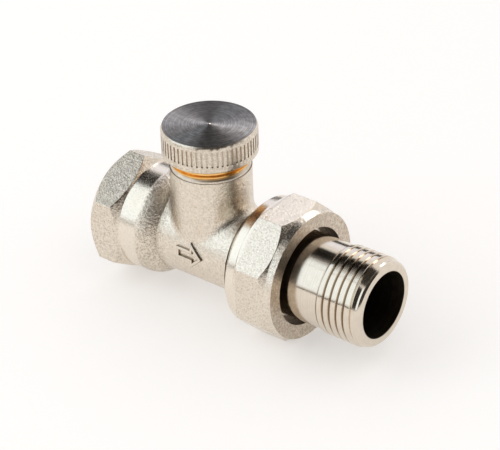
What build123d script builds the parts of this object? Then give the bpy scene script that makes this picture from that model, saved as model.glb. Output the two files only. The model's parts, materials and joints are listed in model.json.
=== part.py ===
from build123d import *
import math
import os

# A straight manual radiator valve with a protection cap, a union nut and a tailpiece.
# Sizes in millimetres. X runs along the pipe from the inlet face to the tail, Z up the neck.
# The origin is the centre of the inlet face. The valve is shown closed, capped and coupled.

# Overall layout
inlet_to_neck = 26.5
neck_to_tail_end = 47.5
neck_top_z = 20.7

# Threads, by crest radius
pipe_thread_r = 10.478
union_thread_r = 13.221
union_thread_depth = 1.161
cap_thread_r = 9.0
bonnet_thread_r = 7.5
spindle_thread_r = 5.0

# Grooves of the two outer threads that show
pipe_pitch = 1.814
pipe_groove_width = 0.56
pipe_groove_depth = 0.42
cap_pitch = 1.0
cap_groove_width = 0.7
cap_groove_depth = 0.5

# Running and seating clearances
thread_gap = 0.03
slide_gap = 0.04
ring_gap = 0.02
cone_gap = 0.15
clip_gap = 0.07

# Inlet boss, band and shoulder of the body
boss_sides = 6
boss_wall = 2.492
boss_length = 6.5
boss_back_slope = 1.7
boss_face_inset = 0.1
band_wall = 2.142
socket_depth = 13.0
socket_edge = 0.25
band_short = 0.2
shoulder_length = 4.6
shoulder_swell = 0.75
tube_wall = 2.5

# Waterway and seat
throat_r = 7.5
throat_length = 4.0
partition_low_z = -1.4
partition_high_z = 1.2
chamber_wall = 2.6
seat_hole_r = 4.0
seat_ring_wall = 0.8
seat_ring_height = 0.4

# Neck
neck_wall = 1.82
neck_step = 0.2
neck_step_height = 1.0
neck_chamfer = 0.5
neck_blend = 3.0
spigot_step = 0.6

# Union end of the body
flare_stand = 2.05
flare_length = 1.2
body_end = 21.6
seat_rim_wall = 0.76
cone_slope = 30.0

# Bonnet
bonnet_foot_depth = 8.3
bonnet_spigot_length = 1.8
bonnet_head_height = 6.3
bonnet_chamfer = 0.6
bonnet_undercut_height = 0.35
bonnet_undercut_depth = 0.5
driver_slot_width = 2.0
driver_slot_depth = 1.2
bonnet_ring_wire = 1.0

# Regulating mechanism
washer_thickness = 2.0
washer_overlap = 1.3
washer_stand = 0.8
cup_wall = 0.6
disc_thickness = 1.4
hub_wall = 1.56
hub_height = 4.0
foot_r = 3.0
foot_length = 3.6
clip_wire = 0.7
clip_opening = 40.0
spindle_thread_length = 6.46
spindle_recess = 3.6
lift = 3.5
stem_step = 0.7
spindle_chamfer = 0.5
stem_ring_wire = 0.85
stem_ring_stand = 0.9
stem_ring_spacing = 2.0
key_sides = 6
key_flats = 4.0
key_depth = 3.2
screw_r = 1.5
screw_head_r = 2.8
screw_head_height = 1.0
screw_length = 3.3
screw_slot_width = 0.6

# Cap
cap_wall = 1.92
cap_roof = 1.8
cap_stand = 2.6
cap_rim_chamfer = 0.35
cap_rim_height = 0.75
cap_bottom_chamfer = 0.25
cap_gasket_thickness = 1.2
knurl_margin = 1.6
knurl_length = 3.8
knurl_count = 60
knurl_width = 0.42
knurl_depth = 0.32

# Union nut
nut_sides = 8
nut_wall = 2.05
nut_length = 13.3
nut_collar_length = 2.9
nut_collar_wall = 1.75
nut_rear_chamfer = 0.8
nut_collar_growth = 0.2
nut_shoulder_slope = 1.2
nut_front_chamfer = 1.3
nut_ring_wall = 2.0
nut_ring_length = 1.7
nut_front_taper = 0.3
nut_hole_play = 1.53
nut_lip = 2.8
nut_relief_depth = 0.25
nut_relief_length = 1.2
nut_mouth_chamfer = 0.7

# Tailpiece
tail_bore_r = 7.8
tail_wall = 2.2
tail_collar_play = 0.7
tail_collar_length = 2.4
tail_collar_stand = 0.86
tail_cone_length = 3.2
tail_spigot_length = 0.6
tail_thread_length = 11.2
tail_nose_length = 2.2
tail_land_length = 0.45
tail_nose_step = 0.55
tail_edge_round = 0.5
tail_ring_wire = 1.2

# Radii that follow from the sizes above
socket_r = pipe_thread_r + thread_gap
boss_apothem = socket_r + boss_wall
band_r = socket_r + band_wall
tube_r = throat_r + tube_wall
neck_bore_r = bonnet_thread_r + thread_gap
neck_r = neck_bore_r + neck_wall
chamber_r = bonnet_thread_r - spigot_step
seat_ring_r = seat_hole_r + seat_ring_wall
union_root_r = union_thread_r - union_thread_depth
seat_cone_r = union_root_r - seat_rim_wall
washer_r = seat_hole_r + washer_overlap
pocket_r = foot_r + slide_gap
hub_r = pocket_r + hub_wall
stem_r = spindle_thread_r - stem_step
cap_bore_r = cap_thread_r + thread_gap
cap_r = cap_bore_r + cap_wall
cap_rim_r = cap_r - cap_rim_chamfer
nut_bore_r = union_thread_r + thread_gap
nut_apothem = nut_bore_r + nut_wall
nut_collar_r = nut_bore_r + nut_collar_wall
nut_ring_r = nut_bore_r + nut_ring_wall
nut_front_r = nut_ring_r - nut_front_taper
tail_shank_r = tail_bore_r + tail_wall
nut_hole_r = tail_shank_r + nut_hole_play
tail_collar_r = nut_bore_r - tail_collar_play
tail_land_r = pipe_thread_r - tail_nose_step

# Places along the pipe
neck_x = inlet_to_neck
tail_end_x = inlet_to_neck + neck_to_tail_end
flare_x = neck_x + neck_r + flare_stand
union_thread_x = flare_x + flare_length
body_end_x = neck_x + body_end
collar_back_x = body_end_x + tail_collar_stand
collar_front_x = collar_back_x + tail_collar_length
nut_shoulder_x = collar_front_x + slide_gap
nut_front_x = nut_shoulder_x + nut_lip
nut_rear_x = nut_front_x - nut_length

# Heights up the neck
seat_z = partition_high_z + seat_ring_height
washer_top_z = seat_z + washer_thickness
hub_top_z = washer_top_z + disc_thickness + hub_height
foot_bottom_z = hub_top_z - foot_length
clip_z = (foot_bottom_z + hub_top_z) / 2
spindle_thread_z = hub_top_z + slide_gap
spindle_shoulder_z = spindle_thread_z + spindle_thread_length
backseat_z = spindle_shoulder_z + lift
stem_ring_low_z = backseat_z + stem_ring_stand
stem_ring_high_z = stem_ring_low_z + stem_ring_spacing
bonnet_foot_z = neck_top_z - bonnet_foot_depth
bonnet_spigot_top_z = bonnet_foot_z + bonnet_spigot_length
bonnet_top_z = neck_top_z + bonnet_head_height
spindle_top_z = bonnet_top_z - spindle_recess
cap_bottom_z = neck_top_z + cap_stand
cap_cavity_top_z = bonnet_top_z + cap_gasket_thickness
cap_top_z = cap_cavity_top_z + cap_roof

# Slope of the union's cone, cutter overrun, and how near a wall counts as on it
cone_run = math.tan(math.radians(cone_slope))
cut_over = 1.0
on_wall = 0.05


def turned_on_pipe(outline):
    """Solid of revolution about the pipe axis, from (x, radius) points."""
    face = make_face(Polyline(*[(x, 0, r) for x, r in outline], close=True))
    return revolve(face, axis=Axis.X)


def turned_on_neck(outline):
    """Solid of revolution about the neck axis, from (radius, z) points."""
    face = make_face(Polyline(*[(neck_x + r, 0, z) for r, z in outline], close=True))
    return revolve(face, axis=Axis((neck_x, 0, 0), (0, 0, 1)))


def pipe_cylinder(radius, start, end):
    """Cylinder along the pipe axis between two X positions."""
    return turned_on_pipe([(start, 0), (start, radius), (end, radius), (end, 0)])


def neck_cylinder(radius, low, high):
    """Cylinder along the neck axis between two heights."""
    return turned_on_neck([(0, low), (radius, low), (radius, high), (0, high)])


def prism_on_pipe(apothem, sides, start, end):
    """Regular prism along the pipe axis, given from axis to flat, with a flat on each side."""
    polygon = RegularPolygon(apothem, sides, major_radius=False, rotation=180 / sides)
    return extrude(Plane.YZ.offset(start) * polygon, end - start)


def level_slab(low, high):
    """Slab over the whole part between two heights, to keep one side of a channel with."""
    return Pos(neck_x, 0, (low + high) / 2) * Box(2 * tail_end_x, 2 * tail_end_x, high - low)


def ring_on_neck(radius, wire, z):
    """Round-section ring about the neck axis."""
    return Pos(neck_x, 0, z) * Torus(radius, wire / 2)


def slot_across_neck(width, low, high, reach):
    """Straight slot across the neck axis, along X."""
    return Pos(neck_x, 0, (low + high) / 2) * Box(2 * reach, width, high - low)


def groove_middles(start, end, pitch, width):
    """Middles of a thread's grooves, one at each pitch, with a full land at either end."""
    land = pitch - width
    count = int((end - start - land) / pitch)
    return [start + land + width / 2 + turn * pitch for turn in range(count)]


def groove_outline(middle, crest_r, width, depth):
    """V cut of one thread groove, as (place along the axis, radius) points."""
    half = width / 2 * (depth + cut_over) / depth
    mouth_r = crest_r + cut_over
    return [(middle - half, mouth_r), (middle, crest_r - depth), (middle + half, mouth_r)]


def body_boss():
    """Six-sided inlet boss with turned chamfers at both ends of its corners."""
    corner_r = boss_apothem / math.cos(math.pi / boss_sides)
    face_r = boss_apothem - boss_face_inset
    turned = turned_on_pipe([
        (0, 0),
        (0, face_r),
        (corner_r - face_r, corner_r),
        (boss_length, corner_r),
        (boss_length + boss_back_slope, band_r),
        (boss_length + boss_back_slope, 0),
    ])
    hexagon = prism_on_pipe(boss_apothem, boss_sides, 0, boss_length + boss_back_slope)
    return turned & hexagon


def body_shoulder():
    """Round band over the socket's end, and the shoulder that falls from it to the tube."""
    band_end = socket_depth - band_short
    shoulder_end = band_end + shoulder_length
    middle = (band_end + shoulder_end) / 2
    crown = (band_r + tube_r) / 2 + shoulder_swell
    outline = [
        Line((boss_length, 0, 0), (boss_length, 0, band_r)),
        Line((boss_length, 0, band_r), (band_end, 0, band_r)),
        ThreePointArc((band_end, 0, band_r), (middle, 0, crown), (shoulder_end, 0, tube_r)),
        Line((shoulder_end, 0, tube_r), (shoulder_end, 0, 0)),
        Line((shoulder_end, 0, 0), (boss_length, 0, 0)),
    ]
    return revolve(make_face(outline), axis=Axis.X)


def body_neck():
    """Upright neck with its machined step and chamfer at the top."""
    step_z = neck_top_z - neck_step_height
    top_r = neck_r - neck_step
    return turned_on_neck([
        (0, 0),
        (neck_r, 0),
        (neck_r, step_z),
        (top_r, step_z),
        (top_r, neck_top_z - neck_chamfer),
        (top_r - neck_chamfer, neck_top_z),
        (0, neck_top_z),
    ])


def body_union_end():
    """Flare from the tube to the plain crest cylinder of the union thread."""
    edge = union_thread_depth
    return turned_on_pipe([
        (flare_x, 0),
        (flare_x, tube_r),
        (union_thread_x, union_root_r),
        (union_thread_x + edge, union_thread_r),
        (body_end_x - edge, union_thread_r),
        (body_end_x, union_root_r),
        (body_end_x, 0),
    ])


def body_waterway():
    """Socket, throats, and the two half-round channels above and below the partition."""
    lower_end_x = neck_x + chamber_r - chamber_wall / 2
    socket = turned_on_pipe([
        (0, 0),
        (0, socket_r + socket_edge),
        (socket_edge, socket_r),
        (socket_depth, socket_r),
        (socket_depth, 0),
    ])
    throat = pipe_cylinder(throat_r, socket_depth, socket_depth + throat_length)
    lower = pipe_cylinder(throat_r, socket_depth, lower_end_x)
    lower &= level_slab(-2 * throat_r, partition_low_z)
    upper = pipe_cylinder(throat_r, neck_x, body_end_x)
    upper &= level_slab(partition_high_z, 2 * throat_r)
    outlet = pipe_cylinder(throat_r, lower_end_x + chamber_wall, body_end_x)
    return socket + throat + lower + upper + outlet


def body_neck_bore():
    """Bore for the bonnet's spigot and thread, down to the partition."""
    bore = neck_cylinder(chamber_r, partition_high_z, neck_top_z)
    threaded = neck_cylinder(neck_bore_r, bonnet_spigot_top_z, neck_top_z)
    return bore + threaded


def body_seat_cone():
    """Conical seat for the tailpiece in the body's outlet."""
    depth = (seat_cone_r - throat_r) / cone_run
    return turned_on_pipe([
        (body_end_x, 0),
        (body_end_x, seat_cone_r),
        (body_end_x - depth, throat_r),
        (body_end_x - depth, 0),
    ])


def is_neck_root(edge):
    """True for the edges where the neck meets the tube."""
    middle = edge.position_at(0.5)
    off_axis = math.hypot(middle.X - neck_x, middle.Y)
    at_wall = abs(off_axis - neck_r) < on_wall
    return at_wall and 0 < middle.Z < tube_r + on_wall and edge.geom_type != GeomType.LINE


def valve_body():
    """Forged body: boss, shoulder, tube, neck and union end, with its waterway cut out."""
    forging = pipe_cylinder(tube_r, socket_depth, union_thread_x) + body_neck()
    roots = [edge for edge in forging.edges() if is_neck_root(edge)]
    forging = fillet(roots, neck_blend)
    forging = forging + body_shoulder() + body_boss() + body_union_end()
    seat_ring = neck_cylinder(seat_ring_r, partition_low_z, seat_z)
    seat_hole = neck_cylinder(seat_hole_r, partition_low_z - cut_over, seat_z + cut_over)
    hollow = body_waterway() + body_neck_bore() + body_seat_cone() - seat_ring
    return forging - (hollow + seat_hole)


def bonnet():
    """Brass insert: spigot and thread for the neck, and a head that carries the cap's thread."""
    shank_r = bonnet_thread_r
    head_r = cap_thread_r
    undercut_r = head_r - bonnet_undercut_depth
    undercut_z = neck_top_z + bonnet_undercut_height
    solid = turned_on_neck([
        (0, bonnet_foot_z),
        (chamber_r - slide_gap, bonnet_foot_z),
        (chamber_r - slide_gap, bonnet_spigot_top_z),
        (shank_r, bonnet_spigot_top_z + shank_r - chamber_r),
        (shank_r, neck_top_z),
        (undercut_r, neck_top_z),
        (undercut_r, undercut_z - bonnet_undercut_depth / 2),
        (head_r, undercut_z),
        (head_r, bonnet_top_z - bonnet_chamfer),
        (head_r - bonnet_chamfer, bonnet_top_z),
        (0, bonnet_top_z),
    ])
    groove_z = (bonnet_foot_z + bonnet_spigot_top_z) / 2
    groove_r = chamber_r - slide_gap - bonnet_ring_wire
    groove = neck_cylinder(chamber_r, groove_z - bonnet_ring_wire / 2, groove_z + bonnet_ring_wire / 2)
    groove -= neck_cylinder(groove_r, bonnet_foot_z, bonnet_spigot_top_z)
    thread_bore = neck_cylinder(spindle_thread_r + thread_gap, bonnet_foot_z, backseat_z)
    stem_bore = neck_cylinder(stem_r + slide_gap, backseat_z, bonnet_top_z)
    slot = slot_across_neck(driver_slot_width, bonnet_top_z - driver_slot_depth, bonnet_top_z, 2 * head_r)
    solid = solid - groove - thread_bore - stem_bore - slot
    for middle in groove_middles(undercut_z, bonnet_top_z - bonnet_chamfer, cap_pitch, cap_groove_width):
        outline = groove_outline(middle, head_r, cap_groove_width, cap_groove_depth)
        solid -= turned_on_neck([(r, z) for z, r in outline])
    return solid


def bonnet_oring():
    """Ring in the bonnet's spigot groove, pressed against the neck's bore."""
    wire = bonnet_ring_wire - 2 * ring_gap
    radius = chamber_r - slide_gap - bonnet_ring_wire / 2
    return ring_on_neck(radius, wire, (bonnet_foot_z + bonnet_spigot_top_z) / 2)


def plug():
    """Valve disc holder: cup for the seat washer, hub, and pocket for the spindle's foot."""
    cup_r = washer_r + cup_wall
    cup_z = seat_z + washer_stand
    disc_top_z = washer_top_z + disc_thickness
    solid = turned_on_neck([
        (0, washer_top_z),
        (washer_r + ring_gap, washer_top_z),
        (washer_r + ring_gap, cup_z),
        (cup_r, cup_z),
        (cup_r, disc_top_z - cup_wall),
        (cup_r - cup_wall, disc_top_z),
        (hub_r, disc_top_z),
        (hub_r, hub_top_z - cup_wall),
        (hub_r - cup_wall, hub_top_z),
        (0, hub_top_z),
    ])
    pocket = neck_cylinder(pocket_r, foot_bottom_z - slide_gap, hub_top_z)
    clip_reach = clip_wire / 2 + clip_gap
    groove = neck_cylinder(foot_r + clip_reach, clip_z - clip_reach, clip_z + clip_reach)
    screw_hole = neck_cylinder(screw_r + thread_gap, washer_top_z, seat_z + screw_length)
    return solid - pocket - groove - screw_hole


def plug_clip():
    """Open wire ring that holds the spindle's foot in the plug's pocket."""
    ring = ring_on_neck(foot_r, clip_wire, clip_z)
    reach = 2 * foot_r
    gap_angle = math.radians(clip_opening / 2)
    corners = [
        (0, 0),
        (reach, -reach * math.tan(gap_angle)),
        (reach, reach * math.tan(gap_angle)),
    ]
    wedge = extrude(make_face(Polyline(*corners, close=True)), clip_wire, both=True)
    return ring - Pos(neck_x, 0, clip_z) * wedge


def seat_washer():
    """Flat rubber washer that closes on the seat."""
    washer = neck_cylinder(washer_r, seat_z, washer_top_z)
    return washer - neck_cylinder(screw_r + slide_gap, seat_z, washer_top_z)


def washer_screw():
    """Slotted screw through the seat washer into the plug."""
    head_low_z = seat_z - screw_head_height
    screw = neck_cylinder(screw_head_r, head_low_z, seat_z)
    screw += neck_cylinder(screw_r, head_low_z, seat_z + screw_length - ring_gap)
    slot_top_z = head_low_z + screw_head_height / 2
    return screw - slot_across_neck(screw_slot_width, head_low_z, slot_top_z, screw_head_r)


def spindle():
    """Regulating screw: foot for the plug, threaded part, and sealed stem with a hex socket."""
    solid = turned_on_neck([
        (0, foot_bottom_z),
        (foot_r, foot_bottom_z),
        (foot_r, spindle_thread_z),
        (spindle_thread_r - spindle_chamfer, spindle_thread_z),
        (spindle_thread_r, spindle_thread_z + spindle_chamfer),
        (spindle_thread_r, spindle_shoulder_z - spindle_chamfer),
        (spindle_thread_r - spindle_chamfer, spindle_shoulder_z),
        (stem_r, spindle_shoulder_z),
        (stem_r, spindle_top_z - spindle_chamfer),
        (stem_r - spindle_chamfer, spindle_top_z),
        (0, spindle_top_z),
    ])
    clip_reach = clip_wire / 2 + clip_gap
    clip_groove = neck_cylinder(foot_r + cut_over, clip_z - clip_reach, clip_z + clip_reach)
    clip_groove -= neck_cylinder(foot_r - clip_reach, foot_bottom_z, spindle_thread_z)
    for z in (stem_ring_low_z, stem_ring_high_z):
        groove = neck_cylinder(stem_r + cut_over, z - stem_ring_wire / 2, z + stem_ring_wire / 2)
        groove -= neck_cylinder(stem_r - stem_ring_wire, spindle_shoulder_z, spindle_top_z)
        solid -= groove
    socket_plane = Plane.XY.offset(spindle_top_z - key_depth)
    socket = socket_plane * (Pos(neck_x, 0) * RegularPolygon(key_flats / 2, key_sides, major_radius=False))
    return solid - clip_groove - extrude(socket, key_depth)


def stem_oring(z):
    """Ring in one of the stem's grooves."""
    return ring_on_neck(stem_r - stem_ring_wire / 2, stem_ring_wire - 2 * ring_gap, z)


def lock_cap():
    """Knurled cap with a chamfered rim, a plain lip and the thread's bore inside."""
    rim_z = cap_top_z - cap_rim_height
    solid = turned_on_neck([
        (0, cap_top_z),
        (cap_rim_r, cap_top_z),
        (cap_r, rim_z),
        (cap_r, cap_bottom_z + cap_bottom_chamfer),
        (cap_r - cap_bottom_chamfer, cap_bottom_z),
        (cap_bore_r + bonnet_chamfer, cap_bottom_z),
        (cap_bore_r, cap_bottom_z + bonnet_chamfer),
        (cap_bore_r, cap_cavity_top_z),
        (0, cap_cavity_top_z),
    ])
    groove = Pos(cap_r, 0) * Rectangle(2 * knurl_depth, knurl_width)
    cutter = extrude(Plane.XY.offset(cap_bottom_z + knurl_margin) * groove, knurl_length)
    centre = Location((neck_x, 0, 0))
    grooves = [centre * turn * cutter for turn in PolarLocations(0, knurl_count)]
    return solid - grooves


def cap_gasket():
    """Flat disc that the cap presses on the bonnet's rim."""
    return neck_cylinder(cap_thread_r - slide_gap, bonnet_top_z, cap_cavity_top_z)


def union_nut():
    """Eight-sided nut with a round collar behind, a turned front, and a lip round the tail."""
    corner_r = nut_apothem / math.cos(math.pi / nut_sides)
    collar_end_x = nut_rear_x + nut_collar_length
    ring_back_x = nut_front_x - nut_ring_length
    turned = turned_on_pipe([
        (nut_rear_x, 0),
        (nut_rear_x, nut_collar_r - nut_rear_chamfer),
        (nut_rear_x + nut_rear_chamfer, nut_collar_r),
        (collar_end_x, nut_collar_r + nut_collar_growth),
        (collar_end_x + nut_shoulder_slope, corner_r),
        (ring_back_x - nut_front_chamfer, corner_r),
        (ring_back_x, nut_ring_r),
        (nut_front_x, nut_front_r),
        (nut_front_x, 0),
    ])
    octagon = prism_on_pipe(nut_apothem, nut_sides, nut_rear_x, nut_front_x)
    relief_r = nut_bore_r + nut_relief_depth
    relief_x = nut_shoulder_x - nut_relief_length
    bore = turned_on_pipe([
        (nut_rear_x, 0),
        (nut_rear_x, nut_bore_r + nut_mouth_chamfer),
        (nut_rear_x + nut_mouth_chamfer, nut_bore_r),
        (relief_x, nut_bore_r),
        (relief_x, relief_r),
        (nut_shoulder_x, relief_r),
        (nut_shoulder_x, 0),
    ])
    return (turned & octagon) - bore - pipe_cylinder(nut_hole_r, nut_shoulder_x - cut_over, nut_front_x)


def tail_ring_centre():
    """Place of the tailpiece's ring, half way along its cone: (x, radius)."""
    x = collar_back_x - tail_cone_length / 2
    cone_r = seat_cone_r - (body_end_x - x) * cone_run - cone_gap
    return x, cone_r - tail_ring_wire / 2


def tailpiece():
    """Turned tailpiece: spigot, cone with ring groove, collar, shank, thread and nose."""
    cone_front_r = seat_cone_r - (body_end_x - collar_back_x) * cone_run - cone_gap
    cone_tip_x = collar_back_x - tail_cone_length
    cone_tip_r = cone_front_r - tail_cone_length * cone_run
    thread_x = tail_end_x - tail_thread_length
    nose_x = tail_end_x - tail_nose_length
    land_x = tail_end_x - tail_edge_round - tail_land_length
    edge = pipe_thread_r - tail_shank_r
    solid = turned_on_pipe([
        (cone_tip_x - tail_spigot_length, tail_bore_r),
        (cone_tip_x, cone_tip_r),
        (collar_back_x, cone_front_r),
        (collar_back_x, tail_collar_r),
        (collar_front_x, tail_collar_r),
        (collar_front_x, tail_shank_r),
        (thread_x, tail_shank_r),
        (thread_x + edge, pipe_thread_r),
        (nose_x, pipe_thread_r),
        (land_x, tail_land_r),
        (land_x + tail_land_length, tail_land_r),
        (tail_end_x, tail_land_r - tail_edge_round),
        (tail_end_x, tail_bore_r),
    ])
    ring_x, ring_r = tail_ring_centre()
    groove = turned_on_pipe([
        (ring_x - tail_ring_wire / 2, ring_r - tail_ring_wire / 2),
        (ring_x - tail_ring_wire / 2, ring_r + tail_ring_wire),
        (ring_x + tail_ring_wire / 2, ring_r + tail_ring_wire),
        (ring_x + tail_ring_wire / 2, ring_r - tail_ring_wire / 2),
    ])
    solid -= groove
    for middle in groove_middles(thread_x + edge, nose_x, pipe_pitch, pipe_groove_width):
        solid -= turned_on_pipe(groove_outline(middle, pipe_thread_r, pipe_groove_width, pipe_groove_depth))
    return solid


def tailpiece_oring():
    """Ring in the tailpiece's cone."""
    ring_x, ring_r = tail_ring_centre()
    wire = tail_ring_wire - 2 * ring_gap
    return Pos(ring_x, 0, 0) * Rot(0, 90, 0) * Torus(ring_r, wire / 2)


nodes = {
    "valve_body": valve_body(),
    "bonnet": bonnet(),
    "bonnet_oring": bonnet_oring(),
    "spindle": spindle(),
    "spindle_oring_lower": stem_oring(stem_ring_low_z),
    "spindle_oring_upper": stem_oring(stem_ring_high_z),
    "plug": plug(),
    "plug_clip": plug_clip(),
    "seat_washer": seat_washer(),
    "washer_screw": washer_screw(),
    "lock_cap": lock_cap(),
    "cap_gasket": cap_gasket(),
    "union_nut": union_nut(),
    "tailpiece": tailpiece(),
    "tailpiece_oring": tailpiece_oring(),
}

os.makedirs("parts", exist_ok=True)
for name, shape in nodes.items():
    export_step(shape, "parts/" + name + ".step")
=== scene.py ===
# %% [markdown]
# # A manual radiator valve
# This lesson dresses a finished CAD model of a radiator valve for a product photograph. The model
# arrives as a frame: every rigid piece is in its place, in metres, and moves with its own body.
# Blender adds what CAD leaves plain: cut threads, softened edges, a raised arrow, metal finishes,
# the studio and the camera. X runs along the pipe, from the inlet to the tail, and Z up the neck.

# %% Load the frame
import bmesh
import bpy
import json
import math
from mathutils import Matrix, Vector


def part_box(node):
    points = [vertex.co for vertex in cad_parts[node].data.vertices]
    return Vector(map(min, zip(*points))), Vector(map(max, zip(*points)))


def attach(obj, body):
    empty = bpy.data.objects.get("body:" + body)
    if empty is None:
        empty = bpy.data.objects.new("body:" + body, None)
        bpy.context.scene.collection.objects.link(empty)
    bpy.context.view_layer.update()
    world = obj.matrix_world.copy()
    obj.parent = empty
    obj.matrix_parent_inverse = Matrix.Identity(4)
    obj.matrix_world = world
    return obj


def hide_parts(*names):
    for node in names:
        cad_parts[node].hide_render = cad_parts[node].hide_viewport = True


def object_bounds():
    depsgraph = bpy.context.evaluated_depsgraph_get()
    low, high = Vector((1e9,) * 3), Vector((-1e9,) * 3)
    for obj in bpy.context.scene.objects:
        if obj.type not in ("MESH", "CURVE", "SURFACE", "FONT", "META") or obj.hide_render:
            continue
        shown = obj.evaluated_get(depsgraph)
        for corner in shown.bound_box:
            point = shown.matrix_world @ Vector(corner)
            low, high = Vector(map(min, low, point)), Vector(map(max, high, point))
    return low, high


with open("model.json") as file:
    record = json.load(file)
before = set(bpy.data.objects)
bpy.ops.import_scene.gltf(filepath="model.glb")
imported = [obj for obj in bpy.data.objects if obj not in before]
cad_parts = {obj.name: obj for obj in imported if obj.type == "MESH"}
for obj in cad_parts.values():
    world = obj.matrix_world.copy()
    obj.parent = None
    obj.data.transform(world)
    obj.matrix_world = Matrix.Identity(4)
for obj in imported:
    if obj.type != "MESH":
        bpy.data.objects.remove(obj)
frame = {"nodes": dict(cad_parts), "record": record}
cad_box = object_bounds()

# %% [markdown]
# ## Sizes taken from the frame
# A dressed piece has to stay where the CAD piece is, so its sizes come from the frame: from the
# boxes of the nodes and from the mounts that the record states. Only what the CAD leaves out, such
# as the depth of a thread, is written here, in millimetres.

# %% Read the valve's main places
mm = 0.001
mounts = {mount["name"]: mount for mount in frame["record"]["mounts"]}
body_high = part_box("valve_body")[1]
cap_low, cap_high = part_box("lock_cap")
nut_low, nut_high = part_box("union_nut")
tail_low, tail_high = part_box("tailpiece")
bonnet_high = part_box("bonnet")[1]
neck_x = (cap_low.x + cap_high.x) / 2
tail_thread_r = mounts["tail_thread"]["dims"]["r_mm"] * mm
socket_r = mounts["inlet_thread"]["dims"]["r_mm"] * mm
socket_depth = mounts["inlet_thread"]["dims"]["length_mm"] * mm
bore_r = mounts["tail_bore"]["dims"]["r_mm"] * mm
pipe_pitch = 1.814 * mm
fine_pitch = 1.0 * mm
tube_r = 10.0 * mm
neck_bore_r = 8.0 * mm
print("neck at x", round(neck_x / mm, 2), "mm, tail thread radius", round(tail_thread_r / mm, 3), "mm")


# %% [markdown]
# ## Copying a CAD piece into a mesh that can be worked on
# An imported CAD mesh is loose triangles, so nothing on it can be bevelled or cut. The cure is a
# copy whose doubled corners are merged and whose flat areas are joined into single faces. The
# original stays untouched: the copy stands in for it in the picture, and physics keeps the original.

# %% Helpers for finished pieces
weld = 0.001 * mm
flat_angle = math.radians(0.3)


def mesh_object(name, bm):
    """Turn a bmesh into an object of the scene, and free the bmesh."""
    mesh = bpy.data.meshes.new(name)
    bm.to_mesh(mesh)
    bm.free()
    made = bpy.data.objects.new(name, mesh)
    bpy.context.scene.collection.objects.link(made)
    return made


def finished_piece(name, bm, body, slot, *nodes):
    """Make a piece from a bmesh, tie it to its body, and let it stand in for CAD nodes."""
    piece = mesh_object(name, bm)
    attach(piece, body)
    if nodes:
        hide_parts(*nodes)
    return piece


def merged_copy(node):
    """A CAD node's shape as one welded mesh with its flat areas joined."""
    bm = bmesh.new()
    bm.from_mesh(frame["nodes"][node].data)
    bmesh.ops.remove_doubles(bm, verts=bm.verts, dist=weld)
    bmesh.ops.dissolve_limit(bm, angle_limit=flat_angle, verts=bm.verts, edges=bm.edges)
    return bm


def soften(bm, width, from_angle=25.0, where=None):
    """Round the hard edges of a mesh by a small width, as tumbling and plating do."""
    limit = math.radians(from_angle)
    hard = [e for e in bm.edges if e.is_manifold and e.calc_face_angle() > limit]
    if where:
        hard = [e for e in hard if where((e.verts[0].co + e.verts[1].co) / 2)]
    bmesh.ops.bevel(
        bm, geom=hard, offset=width, offset_type="OFFSET", segments=2, profile=0.5,
        affect="EDGES", material=-1, clamp_overlap=True)


def shade(piece, sharp_from=38.0):
    """Smooth shading that keeps hard edges hard and large flats flat."""
    mesh = piece.data
    mesh.polygons.foreach_set("use_smooth", [True] * len(mesh.polygons))
    mesh.set_sharp_from_angle(angle=math.radians(sharp_from))
    weighted = piece.modifiers.new("flat faces stay flat", "WEIGHTED_NORMAL")
    weighted.keep_sharp = True
    print(piece.name, "faces", len(mesh.polygons))


def pipe_radius(point):
    """Distance of a point from the pipe's axis."""
    return math.hypot(point.y, point.z)


def neck_radius(point):
    """Distance of a point from the neck's axis."""
    return math.hypot(point.x - neck_x, point.y)


# %% [markdown]
# ## Turning and threading
# A turned piece is an outline spun about an axis. A thread is cut by a tool of the groove's own
# section that moves along while the work turns, and the same idea works here: a small trapezium is
# spun and shifted a little at every step, which gives a long helical bar. Taken away from a turned
# piece, the bar leaves its groove. Laid on a plain core, the bar is a thread's ridge. The steps of
# both spins match, so the cut stays clean.

# %% Spun shapes and helical bars
steps_per_turn = 144
pipe_axis = ((1, 0, 0), (0, 0, 0))
neck_axis = ((0, 0, 1), (neck_x, 0, 0))


def section_loop(bm, axis, outline):
    """Closed loop of edges from (place along, radius) points, in a plane through the axis."""
    direction, centre = Vector(axis[0]), Vector(axis[1])
    out = Vector((0, 0, 1)) if direction.x else Vector((1, 0, 0))
    verts = [bm.verts.new(centre + direction * along + out * radius) for along, radius in outline]
    edges = [bm.edges.new((verts[i - 1], verts[i])) for i in range(len(verts))]
    return verts + edges


def spun_ring(axis, outline):
    """Closed ring or tube: an outline off the axis, spun once round it."""
    bm = bmesh.new()
    bmesh.ops.spin(
        bm, geom=section_loop(bm, axis, outline), cent=axis[1], axis=axis[0],
        angle=2 * math.pi, steps=steps_per_turn, use_merge=True)
    bmesh.ops.recalc_face_normals(bm, faces=bm.faces)
    return bm


def helical_bar(axis, start, end, pitch, section):
    """Closed bar that winds about an axis; its section is a list of (place along, radius) points."""
    steps = round((end - start) / pitch * steps_per_turn)
    bm = bmesh.new()
    loop = section_loop(bm, axis, [(start + along, radius) for along, radius in section])
    bmesh.ops.spin(
        bm, geom=loop, cent=axis[1], axis=axis[0], dvec=Vector(axis[0]) * pitch / steps_per_turn,
        angle=2 * math.pi * steps / steps_per_turn, steps=steps, use_merge=False)
    bmesh.ops.holes_fill(bm, edges=[e for e in bm.edges if e.is_boundary], sides=len(section))
    bmesh.ops.recalc_face_normals(bm, faces=bm.faces)
    return bm


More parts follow.
